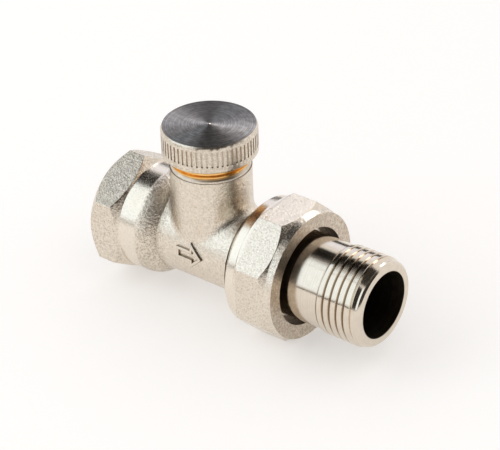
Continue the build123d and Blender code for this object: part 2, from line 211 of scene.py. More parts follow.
def run_out(bm, axis, start, end):
    """Cut a ridge at two planes across its axis, so that it thins out as a real thread does."""
    for place, side in ((start, -1), (end, 1)):
        bmesh.ops.bisect_plane(
            bm, geom=bm.verts[:] + bm.edges[:] + bm.faces[:], dist=weld,
            plane_co=Vector(axis[1]) + Vector(axis[0]) * place,
            plane_no=Vector(axis[0]) * side, clear_outer=True)
        bmesh.ops.holes_fill(bm, edges=[e for e in bm.edges if e.is_boundary], sides=0)


def trapezium(low_r, high_r, low_width, high_width):
    """Section of a thread's groove or ridge, from its inner to its outer radius."""
    return [
        (-low_width / 2, low_r),
        (low_width / 2, low_r),
        (high_width / 2, high_r),
        (-high_width / 2, high_r),
    ]


def cut_away(piece, bm):
    """Subtract a closed mesh from a piece with an exact Boolean, and keep the plain result."""
    cutter = mesh_object("cutter", bm)
    cutter_mesh = cutter.data
    cut = piece.modifiers.new("cut", "BOOLEAN")
    cut.operation = "DIFFERENCE"
    cut.solver = "EXACT"
    cut.object = cutter
    bpy.context.view_layer.update()
    whole = piece.evaluated_get(bpy.context.evaluated_depsgraph_get())
    result = bpy.data.meshes.new_from_object(whole)
    piece.modifiers.clear()
    piece.data = result
    bpy.data.objects.remove(cutter)
    bpy.data.meshes.remove(cutter_mesh)


# %% [markdown]
# ## Body
# The body is a hot forging with a few turned places: the band behind the hexagon, the union end and
# the neck's rim. The CAD shape is right, so the copy only gets soft edges, wider on the forging than
# on the turned rims, and the union thread that the nut runs on. The solid is first turned down to the
# thread's core, and the ridge is then wound on that core.

# %% Body with its union thread
forged_edge = 0.28 * mm
turned_edge = 0.1 * mm
union_r = 13.221 * mm
union_depth = 1.1 * mm
union_start_x = 39.4 * mm
union_run_out = 0.4 * mm
overlap = 0.04 * mm
forging_end_x = 37.5 * mm
hexagon_end_x = 8.5 * mm


def on_hexagon(point):
    """True on the outside of the inlet's hexagon."""
    return point.x < hexagon_end_x and pipe_radius(point) > socket_r + mm


def on_forging_rims(point):
    """True on the outside of the body, away from the hexagon and its inner bores."""
    outside = pipe_radius(point) > tube_r - 0.1 * mm and neck_radius(point) > neck_bore_r
    return outside and not on_hexagon(point)


bm = merged_copy("valve_body")
soften(bm, forged_edge, 12.0, on_hexagon)
soften(bm, turned_edge, 25.0, on_forging_rims)
valve_body = finished_piece("forged_body", bm, "body", "forged_nickel", "valve_body")
union_core_r = union_r - union_depth
cut_away(valve_body, spun_ring(pipe_axis, [
    (union_start_x, union_core_r), (union_start_x, union_r + mm),
    (body_high.x + mm, union_r + mm), (body_high.x + mm, union_core_r)]))
shade(valve_body)

union_section = trapezium(
    union_core_r - overlap, union_r, low_width=1.75 * mm, high_width=0.35 * mm)
bm = helical_bar(pipe_axis, union_start_x, body_high.x + mm, pipe_pitch, union_section)
run_out(bm, pipe_axis, union_start_x + union_run_out, body_high.x - union_run_out)
union_thread = finished_piece("union_thread", bm, "body", "forged_nickel")
shade(union_thread)

# %% [markdown]
# ## Inlet's female thread
# The pipe screws into the inlet, so its thread stands inwards from the socket's wall. A tap cuts it,
# and a countersink then opens its mouth. The ridge is wound longer than the socket, cut off at both
# ends, and its corners near each end are pushed back into the wall on a slope of 45 degrees.

# %% Ridge of the inlet's female thread
ridge_height = 1.1 * mm
inlet_start_x = 0.3 * mm
inlet_end_x = socket_depth - 0.1 * mm
inlet_section = trapezium(
    socket_r - ridge_height, socket_r + overlap, low_width=0.3 * mm, high_width=1.5 * mm)
bm = helical_bar(pipe_axis, -1.5 * mm, socket_depth + mm, pipe_pitch, inlet_section)
run_out(bm, pipe_axis, inlet_start_x, inlet_end_x)
for vert in bm.verts:
    reach = pipe_radius(vert.co)
    chamfer = socket_r + overlap / 2 - min(vert.co.x - inlet_start_x, inlet_end_x - vert.co.x)
    if reach < chamfer:
        vert.co.y *= chamfer / reach
        vert.co.z *= chamfer / reach
inlet_thread = finished_piece("inlet_thread", bm, "body", "forged_nickel")
shade(inlet_thread)

# %% [markdown]
# ## Raised arrow
# Valve bodies carry a raised arrow for the direction of flow, which the forging die leaves. It is
# drawn flat as a block arrow. An inset splits it into a ring and a middle, and the middle is removed.
# The ring is thickened, its top edge is rounded, and it is wrapped on the tube at the very end, when
# every measure along the flat drawing is done.

# %% Arrow on the front of the tube
arrow_length = 7.4 * mm
arrow_head = 3.6 * mm
arrow_half = 3.2 * mm
arrow_stem_half = 1.45 * mm
arrow_stroke = 0.8 * mm
arrow_height = 0.5 * mm
arrow_sink = 0.15 * mm
arrow_edge = 0.22 * mm
longest_edge = 1.2 * mm
rim_angle = 1.0
arrow_centre_x = 27.4 * mm
arrow_centre_angle = math.radians(4.0)


def wrapped_on_tube(point):
    """A flat drawing's point (along, up, out) laid on the front of the tube."""
    angle = point.y / tube_r + arrow_centre_angle
    radius = tube_r + point.z
    return Vector((arrow_centre_x + point.x, -radius * math.cos(angle), radius * math.sin(angle)))


def raised_arrow():
    """Raised outline of a block arrow, wrapped on the tube."""
    back, front = -arrow_length / 2, arrow_length / 2
    neck = front - arrow_head
    outline = [
        (back, -arrow_stem_half), (neck, -arrow_stem_half), (neck, -arrow_half), (front, 0),
        (neck, arrow_half), (neck, arrow_stem_half), (back, arrow_stem_half),
    ]
    bm = bmesh.new()
    face = bm.faces.new([bm.verts.new((x, y, -arrow_sink)) for x, y in outline])
    bm.normal_update()
    bmesh.ops.inset_individual(bm, faces=[face], thickness=arrow_stroke, use_even_offset=True)
    bmesh.ops.delete(bm, geom=[face], context="FACES_ONLY")
    for _ in range(2):
        long_edges = [e for e in bm.edges if e.calc_length() > longest_edge]
        bmesh.ops.subdivide_edges(bm, edges=long_edges, cuts=1, use_grid_fill=True)
    raised = bmesh.ops.extrude_face_region(bm, geom=bm.faces[:], use_keep_orig=True)
    top = [v for v in raised["geom"] if isinstance(v, bmesh.types.BMVert)]
    bmesh.ops.translate(bm, verts=top, vec=(0, 0, arrow_height + arrow_sink))
    bmesh.ops.recalc_face_normals(bm, faces=bm.faces)
    rim = [e for e in bm.edges if e.is_manifold and e.calc_face_angle() > rim_angle
           and min(v.co.z for v in e.verts) > 0]
    bmesh.ops.bevel(
        bm, geom=rim, offset=arrow_edge, offset_type="OFFSET", segments=3, profile=0.5,
        affect="EDGES", material=-1, clamp_overlap=True)
    for vert in bm.verts:
        vert.co = wrapped_on_tube(vert.co)
    bmesh.ops.recalc_face_normals(bm, faces=bm.faces)
    return bm


arrow = finished_piece("flow_arrow", raised_arrow(), "body", "forged_nickel")
shade(arrow, 60.0)

# %% [markdown]
# ## Bonnet
# The bonnet is a turned brass insert. Its head stands out of the neck and carries the fine thread of
# the cap, of which two turns show under the cap as a golden ring. It is made as the body's thread
# was: the head is turned down to the core, and the ridge is wound on it.

# %% Bonnet with its fine thread
cap_thread_r = bonnet_high.x - neck_x
cap_thread_depth = 0.55 * mm
cap_core_r = cap_thread_r - cap_thread_depth
cap_thread_z = body_high.z - 0.46 * mm
cap_core_start_z = body_high.z + 0.05 * mm
cap_ridge_start_z = body_high.z + 0.02 * mm
cap_thread_end_z = bonnet_high.z - 0.5 * mm
bm = merged_copy("bonnet")
soften(bm, 0.06 * mm)
bonnet = finished_piece("brass_bonnet", bm, "body", "raw_brass", "bonnet")
cut_away(bonnet, spun_ring(neck_axis, [
    (cap_core_start_z, cap_core_r), (cap_core_start_z, cap_thread_r + mm),
    (cap_thread_end_z, cap_thread_r + mm), (cap_thread_end_z, cap_core_r)]))
shade(bonnet)

fine_section = trapezium(
    cap_core_r - overlap, cap_thread_r, low_width=0.8 * mm, high_width=0.3 * mm)
bm = helical_bar(neck_axis, cap_thread_z, bonnet_high.z, fine_pitch, fine_section)
run_out(bm, neck_axis, cap_ridge_start_z, cap_thread_end_z)
cap_thread = finished_piece("cap_thread", bm, "body", "raw_brass")
shade(cap_thread)

# %% [markdown]
# ## Cap
# The cap's knurl and rim come from the CAD. Its edges are softened very little, because a knurl
# that is too soft looks cast. A lathe leaves a small pip where it parts the cap from the bar.

# %% Cap and its parting pip
bm = merged_copy("lock_cap")
soften(bm, 0.05 * mm)
lock_cap = finished_piece("knurled_cap", bm, "cap", "cap_nickel", "lock_cap")
shade(lock_cap)

pip_r = 0.34 * mm
pip_height = 0.09 * mm
bm = bmesh.new()
bmesh.ops.create_cone(
    bm, cap_ends=True, segments=24, radius1=pip_r, radius2=pip_r / 3, depth=pip_height,
    matrix=Matrix.Translation((neck_x, 0, cap_high.z + pip_height / 2 - 0.01 * mm)))
pip = finished_piece("parting_pip", bm, "cap", "cap_nickel")
shade(pip)

# %% [markdown]
# ## Union nut
# The nut is forged too, with eight flats, and its collar, rim and front are turned. Its own thread
# is seen only when it is screwed off, so a few turns of a plain ridge are enough.

# %% Union nut and its inner thread
bm = merged_copy("union_nut")
soften(bm, 0.2 * mm, 14.0)
union_nut = finished_piece("forged_nut", bm, "nut", "nut_nickel", "union_nut")
shade(union_nut)

nut_thread_r = union_r + 0.03 * mm
nut_ridge_height = 0.8 * mm
nut_section = trapezium(
    nut_thread_r - nut_ridge_height, nut_thread_r + overlap, low_width=0.24 * mm, high_width=1.1 * mm)
nut_ridge_start = union_start_x + 1.5 * pipe_pitch
nut_ridge_end = nut_ridge_start + 3.5 * pipe_pitch
bm = helical_bar(pipe_axis, nut_ridge_start, nut_ridge_end, pipe_pitch, nut_section)
nut_thread = finished_piece("nut_thread", bm, "nut", "nut_nickel")
shade(nut_thread)

# %% [markdown]
# ## Tailpiece
# The tailpiece is turned from bar and polished. Its half-inch pipe thread has wide flat crests and
# narrow grooves, and it ends in a cone, a narrow land and a rounded nose. Every face of it is turned,
# so it is spun anew from its outline, and a helical bar cuts the groove as the lathe's tool does.

# %% Tailpiece with its pipe thread
collar_back_x = 48.96 * mm
collar_front_x = 51.36 * mm
cone_start_x = tail_low.x + 0.6 * mm
cone_front_r = 10.654 * mm
cone_slope = math.tan(math.radians(30))
shank_r = 10.0 * mm
tail_thread_x = tail_high.x - 11.2 * mm
nose_x = tail_high.x - 2.2 * mm
land_x = tail_high.x - 0.95 * mm
tail_thread_depth = 0.55 * mm
land_r = tail_thread_r - tail_thread_depth
nose_round = 0.5 * mm
tail_edge = 0.07 * mm


def cone_radius(x):
    """Radius of the tailpiece's sealing cone at a place along the pipe."""
    return cone_front_r - (collar_back_x - x) * cone_slope


ring_low, ring_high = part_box("tailpiece_oring")
ring_floor_r = ring_high.z - (ring_high.x - ring_low.x)
tail_outline = [
    (tail_low.x, bore_r),
    (cone_start_x, cone_radius(cone_start_x)),
    (ring_low.x, cone_radius(ring_low.x)),
    (ring_low.x, ring_floor_r),
    (ring_high.x, ring_floor_r),
    (ring_high.x, cone_radius(ring_high.x)),
    (collar_back_x, cone_front_r),
    (collar_back_x, tail_high.z),
    (collar_front_x, tail_high.z),
    (collar_front_x, shank_r),
    (tail_thread_x, shank_r),
    (tail_thread_x + tail_thread_r - shank_r, tail_thread_r),
    (nose_x, tail_thread_r),
    (land_x, land_r),
    (tail_high.x - nose_round, land_r),
    (tail_high.x, land_r - nose_round),
    (tail_high.x, bore_r),
]
bm = spun_ring(pipe_axis, tail_outline)
soften(bm, tail_edge, 20.0)
tailpiece = finished_piece("turned_tailpiece", bm, "tail", "bright_nickel", "tailpiece")
tail_section = trapezium(
    tail_thread_r - tail_thread_depth, tail_thread_r + 0.3 * mm, low_width=0.1 * mm, high_width=mm)
cut_away(tailpiece, helical_bar(
    pipe_axis, tail_thread_x - 0.2 * mm, tail_high.x - 0.6 * mm, pipe_pitch, tail_section))
shade(tailpiece)


# %% [markdown]
# ## Metal finishes
# Three effects are shared, so each is a node group: coordinates about a turning axis, the blasted
# skin of a forging and the fine lines of a lathe. They give only values and masks. The shaders stay
# in the materials, because that is where an export looks for them.

# %% Node helpers
def add(tree, kind, **settings):
    """A new node with its settings."""
    node = tree.nodes.new(kind)
    for key, value in settings.items():
        setattr(node, key, value)
    return node


def set_inputs(node, **values):
    """Give a node's sockets plain values by name, with underscores for spaces."""
    for key, value in values.items():
        node.inputs[key.replace("_", " ")].default_value = value
    return node


def calc(tree, operation, a, b=None, c=None, clamp=False):
    """A Math node; numbers go on its sockets and sockets are linked."""
    node = add(tree, "ShaderNodeMath", operation=operation, use_clamp=clamp)
    for socket, value in zip(node.inputs, (a, b, c)):
        if value is None:
            continue
        if isinstance(value, (int, float)):
            socket.default_value = value
        else:
            tree.links.new(value, socket)
    return node.outputs[0]


def ramp(tree, value, low, high, to_low=0.0, to_high=1.0):
    """A smooth step of a value between two limits."""
    node = add(tree, "ShaderNodeMapRange", interpolation_type="SMOOTHSTEP")
    set_inputs(node, From_Min=low, From_Max=high, To_Min=to_low, To_Max=to_high)
    tree.links.new(value, node.inputs["Value"])
    return node.outputs["Result"]


def noise(tree, vector, scale, detail=2.0, roughness=0.5, kind="3D"):
    """A Noise texture's value; scale is a number or a socket, in cells per metre."""
    node = add(tree, "ShaderNodeTexNoise", noise_dimensions=kind)
    set_inputs(node, Detail=detail, Roughness=roughness)
    tree.links.new(vector, node.inputs["W" if kind == "1D" else "Vector"])
    if isinstance(scale, (int, float)):
        node.inputs["Scale"].default_value = scale
    else:
        tree.links.new(scale, node.inputs["Scale"])
    return node.outputs["Fac"]


def blend_colour(tree, factor, a, b):
    """Mix of two colours by a factor; a colour is a tuple or a socket."""
    node = add(tree, "ShaderNodeMix", data_type="RGBA")
    for socket, value in ((node.inputs[0], factor), (node.inputs[6], a), (node.inputs[7], b)):
        if isinstance(value, tuple):
            socket.default_value = (*value, 1.0)
        elif isinstance(value, (int, float)):
            socket.default_value = value
        else:
            tree.links.new(value, socket)
    return node.outputs[2]


def new_material(name):
    """A material that uses nodes, and its node tree."""
    material = bpy.data.materials.new(name)
    material.use_nodes = True
    return material, material.node_tree


def new_group(name, inputs, outputs):
    """An empty node group with named sockets, and its two end nodes."""
    tree = bpy.data.node_groups.new(name, "ShaderNodeTree")
    for label, kind in inputs:
        tree.interface.new_socket(label, in_out="INPUT", socket_type=kind)
    for label in outputs:
        tree.interface.new_socket(label, in_out="OUTPUT", socket_type="NodeSocketFloat")
    return tree, tree.nodes.new("NodeGroupInput"), tree.nodes.new("NodeGroupOutput")


def use_group(tree, group, vector, **values):
    """A node that stands for a group in a material."""
    node = tree.nodes.new("ShaderNodeGroup")
    node.node_tree = group
    tree.links.new(vector, node.inputs["Vector"])
    return set_inputs(node, **values)


# %% Shared effects
def round_coordinates():
    """Distance along Z and radius about Z, for pieces that are turned about an axis."""
    tree, start, end = new_group("About an axis", [("Vector", "NodeSocketVector")], ["Along", "Radius"])
    parts = add(tree, "ShaderNodeSeparateXYZ")
    tree.links.new(start.outputs[0], parts.inputs[0])
    x_squared = calc(tree, "MULTIPLY", parts.outputs[0], parts.outputs[0])
    y_squared = calc(tree, "MULTIPLY", parts.outputs[1], parts.outputs[1])
    radius = calc(tree, "SQRT", calc(tree, "ADD", x_squared, y_squared))
    tree.links.new(parts.outputs[2], end.inputs["Along"])
    tree.links.new(radius, end.inputs["Radius"])
    return tree


def blasted_skin():
    """Skin of a blasted forging: grain of two sizes and shallow pits."""
    sockets = [("Vector", "NodeSocketVector"), ("Cells", "NodeSocketFloat")]
    tree, start, end = new_group("Blasted skin", sockets, ["Height", "Pits", "Tone"])
    vector, cells = start.outputs[0], start.outputs[1]
    fine = noise(tree, vector, cells, 3.0, 0.6)
    coarse = noise(tree, vector, calc(tree, "MULTIPLY", cells, 0.38), 2.0, 0.5)
    dents = noise(tree, vector, calc(tree, "MULTIPLY", cells, 0.1), 2.0, 0.5)
    grain = calc(tree, "MULTIPLY_ADD", coarse, 1.1, fine)
    height = calc(tree, "MULTIPLY_ADD", dents, 1.6, grain)
    pits = ramp(tree, calc(tree, "MULTIPLY_ADD", coarse, 0.3, fine), 0.62, 0.5)
    tone = ramp(tree, calc(tree, "MULTIPLY_ADD", coarse, 0.6, fine), 0.62, 0.98)
    tree.links.new(height, end.inputs["Height"])
    tree.links.new(pits, end.inputs["Pits"])
    tree.links.new(tone, end.inputs["Tone"])
    return tree


def lathe_lines():
    """Fine lines round a turned piece, from a noise that follows only length and radius."""
    sockets = [("Vector", "NodeSocketVector"), ("Lines", "NodeSocketFloat")]
    tree, start, end = new_group("Lathe lines", sockets, ["Height", "Tone"])
    spot = use_group(tree, axis_group, start.outputs[0])
    place = calc(tree, "ADD", spot.outputs["Along"], spot.outputs["Radius"])
    wander = noise(tree, start.outputs[0], 90.0, 1.0)
    place = calc(tree, "MULTIPLY_ADD", wander, 0.00006, place)
    lines = noise(tree, place, start.outputs[1], 3.0, 0.7, "1D")
    patches = noise(tree, start.outputs[0], 700.0, 2.0)
    tone = calc(tree, "MULTIPLY", lines, calc(tree, "ADD", patches, 0.5))
    tree.links.new(lines, end.inputs["Height"])
    tree.links.new(tone, end.inputs["Tone"])
    return tree


axis_group = round_coordinates()
skin_group = blasted_skin()
lathe_group = lathe_lines()
print("groups:", [group.name for group in bpy.data.node_groups])

# %% [markdown]
# ## Materials
# Nickel over brass is a warm pale metal. What tells the pieces apart is the surface: the body is
# blasted and rough, the tailpiece is polished, and the cap's top is turned and steel grey. Every
# metal starts from one function, and each finish then adds its own bumps, tones and roughness.

# %% Metal material
nickel = (0.76, 0.68, 0.575)
nickel_shade = (0.54, 0.46, 0.365)
nickel_glint = (0.82, 0.74, 0.635)
along_pipe = (0, -math.pi / 2, 0)


def metal(name, base, roughness, **sockets):
    """A metal material with its shader's settings and object coordinates."""
    material, tree = new_material(name)
    shader = tree.nodes["Principled BSDF"]
    set_inputs(shader, Base_Color=(*base, 1.0), Metallic=1.0, Roughness=roughness, **sockets)
    place = add(tree, "ShaderNodeTexCoord").outputs["Object"]
    return material, tree, shader, place


def about_pipe(tree, place):
    """Coordinates turned so that Z runs along the pipe."""
    node = add(tree, "ShaderNodeMapping")
    node.inputs["Rotation"].default_value = along_pipe
    tree.links.new(place, node.inputs["Vector"])
    return node.outputs[0]


def about_neck(tree, place):
    """Coordinates moved so that Z is the neck's axis."""
    node = add(tree, "ShaderNodeMapping")
    node.inputs["Location"].default_value = (-neck_x, 0, 0)
    tree.links.new(place, node.inputs["Vector"])
    return node.outputs[0]


def bump(tree, shader, height, distance, before=None):
    """A Bump node on the shader's normal, after an earlier one if there is one."""
    node = add(tree, "ShaderNodeBump")
    set_inputs(node, Strength=1.0, Distance=distance)
    tree.links.new(height, node.inputs["Height"])
    if before:
        tree.links.new(before.outputs[0], node.inputs["Normal"])
    tree.links.new(node.outputs[0], shader.inputs["Normal"])
    return node


# %% [markdown]
# ## Forged nickel
# Blasting with shot leaves a fine grain that plating follows, so the nickel glints on the grain's
# tops and is dull in its pits, whose darker colour is painted shade. The grain is both a bump and a
# tone. Places along the pipe fade it out on the turned band, and make it coarser, with more painted
# shade in its pits, on the shoulder, where the die is worn. The hexagon's pits get more painted shade
# too.

# %% Forged nickel of the body
grain_depth = 0.06 * mm
band_rise = (7.6 * mm, 8.6 * mm)
band_fall = (13.6 * mm, 12.6 * mm)
shoulder_rise = (12.8 * mm, 14.2 * mm)
shoulder_fall = (20.5 * mm, 17.0 * mm)
stain_brown = (0.74, 0.63, 0.49)
# painted shade: dark colour for the pits of the grain
pit_shade_colour = (0.22, 0.17, 0.12)


def forged_nickel():
    """Nickel on a blasted forging, smooth on the turned band behind the hexagon."""
    material, tree, shader, place = metal("forged nickel", nickel, 0.24)
    along = use_group(tree, axis_group, about_pipe(tree, place)).outputs["Along"]
    skin = use_group(tree, skin_group, place, Cells=4600.0)
    band = calc(tree, "MULTIPLY", ramp(tree, along, *band_rise), ramp(tree, along, *band_fall))
    rough = calc(tree, "MULTIPLY_ADD", band, -0.8, 1.0)
    shoulder = calc(
        tree, "MULTIPLY", ramp(tree, along, *shoulder_rise), ramp(tree, along, *shoulder_fall))
    coarseness = calc(tree, "ADD", rough, shoulder)
    height = calc(tree, "MULTIPLY", skin.outputs["Height"], coarseness)
    bump(tree, shader, height, grain_depth)
    pits = calc(tree, "MULTIPLY", skin.outputs["Pits"], rough)
    stains = ramp(tree, noise(tree, place, 160.0, 3.0), 0.45, 0.75)
    grain = calc(tree, "MULTIPLY", calc(tree, "SUBTRACT", 1.0, skin.outputs["Tone"]), rough)
    grained = blend_colour(tree, calc(tree, "MULTIPLY", grain, 0.55), nickel_glint, nickel_shade)
    tint = blend_colour(tree, calc(tree, "MULTIPLY", stains, 0.35), grained, stain_brown)
    hexagon = ramp(tree, along, band_rise[1], band_rise[0], 0.14, 0.5)
    # painted shade: the grain's pits are darkened, most on the shoulder and the hexagon
    shaded_pits = calc(tree, "MULTIPLY", pits, calc(tree, "MULTIPLY_ADD", shoulder, 0.75, hexagon))
    colour = blend_colour(tree, shaded_pits, tint, pit_shade_colour)
    tree.links.new(colour, shader.inputs["Base Color"])
    spread = calc(tree, "MULTIPLY_ADD", skin.outputs["Pits"], 0.16, 0.2)
    tree.links.new(spread, shader.inputs["Roughness"])
    return material


# %% Forged nickel of the nut
nut_collar_end_x = nut_low.x + 3.4 * mm
# painted shade: dark colour for the pits of the nut's grain
nut_pit_shade = (0.3, 0.25, 0.2)
# painted shade: the nut's front is coloured darker and browner than its flats
shaded_face_brown = (0.58, 0.5, 0.41)
shaded_face_dark, shaded_face_pale = (0.44, 0.36, 0.28), (0.74, 0.65, 0.54)


def nut_nickel():
    """Nickel on the nut: grainy flats, with a smooth collar at the rear."""
    material, tree, shader, place = metal("nut nickel", nickel, 0.24)
    along = use_group(tree, axis_group, about_pipe(tree, place)).outputs["Along"]
    skin = use_group(tree, skin_group, place, Cells=5000.0)
    rough = ramp(tree, along, nut_collar_end_x, nut_collar_end_x + 0.8 * mm, 0.1, 1.0)
    height = calc(tree, "MULTIPLY", skin.outputs["Height"], rough)
    bump(tree, shader, height, grain_depth * 0.75)
    pits = calc(tree, "MULTIPLY", skin.outputs["Pits"], rough)
    grain = calc(tree, "MULTIPLY", calc(tree, "SUBTRACT", 1.0, skin.outputs["Tone"]), rough)
    grained = blend_colour(tree, calc(tree, "MULTIPLY", grain, 0.5), nickel_glint, nickel_shade)
    # painted shade: the grain's pits are darkened
    colour = blend_colour(tree, calc(tree, "MULTIPLY", pits, 0.3), grained, nut_pit_shade)
    tree.links.new(colour, shader.inputs["Base Color"])
    spread = calc(tree, "MULTIPLY_ADD", skin.outputs["Pits"], 0.14, 0.2)
    tree.links.new(spread, shader.inputs["Roughness"])
    return material


def shaded_nut_face():
    """Turned nut front, duller than its flats, with painted shade that makes it darker and browner."""
    material, tree, shader, place = metal("nut face painted shade", shaded_face_brown, 0.34)
    skin = use_group(tree, skin_group, place, Cells=4200.0)
    bump(tree, shader, skin.outputs["Height"], grain_depth * 0.6)
    # painted shade: the face's colours stand for the shaded floor it reflects
    colour = blend_colour(tree, skin.outputs["Tone"], shaded_face_dark, shaded_face_pale)
    tree.links.new(colour, shader.inputs["Base Color"])
    return material


# %% [markdown]
# ## Turned finishes
# A lathe leaves fine rings. On the polished pieces they are so shallow that they only break up the
# highlights, and the grooves of the tailpiece's thread and the cap's knurl get painted shade, a dark
# brown colour. On the cap's top they are deep, and all of them run round the middle, so each patch
# spreads the light outwards and two bright fans meet at the centre. A tangent that points away from
# the middle gives the shader that direction.

# %% Turned finishes
tail_shade = (0.68, 0.6, 0.5)
# painted shade: dark brown colour for the grooves of the thread and the knurl
groove_shade_brown = (0.24, 0.17, 0.1)
cap_steel = (0.36, 0.345, 0.335)
ring_dark, ring_pale = (0.15, 0.14, 0.135), (0.37, 0.355, 0.345)
crown_slope = 0.28
knurl_low_z, knurl_high_z = cap_low.z + 1.3 * mm, cap_high.z - 1.2 * mm


def deep_groove(tree, spot, top_r, floor_r, start, end):
    """Mask of the grooves between two radii, on a stretch along a turned piece."""
    deep = ramp(tree, spot.outputs["Radius"], top_r, floor_r)
    after = ramp(tree, spot.outputs["Along"], start, start + 0.3 * mm)
    before = ramp(tree, spot.outputs["Along"], end, end - 0.3 * mm)
    return calc(tree, "MULTIPLY", deep, calc(tree, "MULTIPLY", after, before))


def tail_nickel():
    """Polished nickel of the tailpiece, with painted shade in the thread's grooves."""
    material, tree, shader, place = metal("tail nickel", nickel, 0.13)
    turned = about_pipe(tree, place)
    marks = use_group(tree, lathe_group, turned, Lines=3600.0)
    bump(tree, shader, marks.outputs["Height"], 0.004 * mm)
    spot = use_group(tree, axis_group, turned)
    groove = deep_groove(
        tree, spot, tail_thread_r - 0.06 * mm, tail_thread_r - 0.3 * mm, tail_thread_x, nose_x)
    tone = ramp(tree, marks.outputs["Tone"], 0.3, 0.8)
    polished = blend_colour(tree, tone, tail_shade, nickel)
    # painted shade: the thread's grooves are coloured dark brown
    colour = blend_colour(tree, calc(tree, "MULTIPLY", groove, 0.62), polished, groove_shade_brown)
    tree.links.new(colour, shader.inputs["Base Color"])
    spread = calc(tree, "MULTIPLY_ADD", marks.outputs["Tone"], 0.08, 0.1)
    tree.links.new(spread, shader.inputs["Roughness"])
    return material


def turned_metal(name, base, shade_colour, roughness, lines, depth, turn, **sockets):
    """A metal with lathe lines about one axis."""
    material, tree, shader, place = metal(name, base, roughness, **sockets)
    marks = use_group(tree, lathe_group, turn(tree, place), Lines=lines)
    bump(tree, shader, marks.outputs["Height"], depth)
    tone = ramp(tree, marks.outputs["Tone"], 0.3, 0.8)
    tree.links.new(blend_colour(tree, tone, shade_colour, base), shader.inputs["Base Color"])
    spread = calc(tree, "MULTIPLY_ADD", marks.outputs["Tone"], 0.08, roughness - 0.03)
    tree.links.new(spread, shader.inputs["Roughness"])
    return material


def cap_nickel():
    """Satin nickel on the cap's side, with a fine even grain and painted shade in the knurl grooves."""
    material, tree, shader, place = metal("cap nickel", nickel, 0.28)
    skin = use_group(tree, skin_group, place, Cells=5200.0)
    bump(tree, shader, skin.outputs["Height"], 0.01 * mm)
    spot = use_group(tree, axis_group, about_neck(tree, place))
    cap_r = cap_high.x - neck_x
    groove = deep_groove(
        tree, spot, cap_r - 0.05 * mm, cap_r - 0.25 * mm, knurl_low_z, knurl_high_z)
    worn = blend_colour(tree, skin.outputs["Tone"], nickel_shade, nickel_glint)
    # painted shade: the knurl's grooves are coloured dark brown
    colour = blend_colour(tree, calc(tree, "MULTIPLY", groove, 0.25), worn, groove_shade_brown)
    tree.links.new(colour, shader.inputs["Base Color"])
    return material


def cap_face():
    """Bare turned face of the cap: slightly crowned, its rings fan the light into a bow tie."""
    material, tree, shader, place = metal("turned cap face", cap_steel, 0.48, Anisotropic=0.95)
    centred = about_neck(tree, place)
    rings = use_group(tree, lathe_group, centred, Lines=5200.0)
    spot = use_group(tree, axis_group, centred)
    crown = bump(tree, shader, calc(tree, "MULTIPLY", spot.outputs["Radius"], -1.0), crown_slope)
    bump(tree, shader, rings.outputs["Height"], 0.018 * mm, crown)
    outward = add(tree, "ShaderNodeVectorMath", operation="MULTIPLY")
    outward.inputs[1].default_value = (1, 1, 0)
    tree.links.new(centred, outward.inputs[0])
    unit = add(tree, "ShaderNodeVectorMath", operation="NORMALIZE")
    tree.links.new(outward.outputs[0], unit.inputs[0])
    tree.links.new(unit.outputs[0], shader.inputs["Tangent"])
    tone = ramp(tree, rings.outputs["Tone"], 0.3, 0.75)
    colour = blend_colour(tree, tone, ring_dark, ring_pale)
    tree.links.new(colour, shader.inputs["Base Color"])
    return material


# %% Rubber of the seals
rubber_black, rubber_mean, rubber_grey = (0.02, 0.02, 0.02), (0.03, 0.03, 0.03), (0.05, 0.05, 0.05)


def rubber():
    """Matt black rubber with a faint mould texture."""
    material, tree, shader, place = metal("seal rubber", rubber_mean, 0.65)
    shader.inputs["Metallic"].default_value = 0.0
    cloud = noise(tree, place, 2500.0, 3.0)
    bump(tree, shader, cloud, 0.01 * mm)
    colour = blend_colour(tree, cloud, rubber_black, rubber_grey)
    tree.links.new(colour, shader.inputs["Base Color"])
    return material


# %% [markdown]
# ## List of finishes
# Every surface of the valve gets its finish by a short name from one list. The plain turned metals
# differ only in colours, roughness and the fineness of their lines, so a table gives them.

# %% One finish for each kind of surface
rubbed_nickel = (0.7, 0.62, 0.52)
# painted shade: near-black colours for the insides of the bores
bore_shade, deep_bore_shade = (0.16, 0.13, 0.1), (0.1, 0.08, 0.06)
# darker colours for the raised arrow's steep sides
arrow_side_dark, arrow_side_darker = (0.4, 0.33, 0.25), (0.26, 0.2, 0.14)
gold, deep_gold = (0.98, 0.66, 0.27), (0.77, 0.43, 0.14)
dull_brass, deep_brass = (0.8, 0.6, 0.3), (0.6, 0.42, 0.18)
steel, deep_steel = (0.55, 0.55, 0.56), (0.4, 0.4, 0.41)
finishes = {
    "forged": forged_nickel(),
    "nut": nut_nickel(),
    "nut face": shaded_nut_face(),
    "tail": tail_nickel(),
    "cap": cap_nickel(),
    "cap face": cap_face(),
    "rubber": rubber(),
}
turned_finishes = {
    "bright": ("bright nickel", nickel, rubbed_nickel, 0.13, 3600.0, 0.003 * mm, about_pipe),
    # painted shade: bores, the nut's inside and the neck's inside are coloured near black
    "bore": ("painted bore shade", bore_shade, deep_bore_shade, 0.45, 2500.0, 0.01 * mm, about_pipe),
    "cast edge": ("cast edge", arrow_side_dark, arrow_side_darker, 0.35, 3000.0, 0.004 * mm, about_pipe),
    "neck rim": ("turned neck rim", nickel, nickel_shade, 0.32, 5000.0, 0.006 * mm, about_neck),
    "brass": ("raw brass", gold, deep_gold, 0.2, 6000.0, 0.004 * mm, about_neck),
    "inner brass": ("turned brass", dull_brass, deep_brass, 0.3, 4000.0, 0.005 * mm, about_neck),
    "wire": ("spring wire", steel, deep_steel, 0.3, 4000.0, 0.004 * mm, about_neck),
}
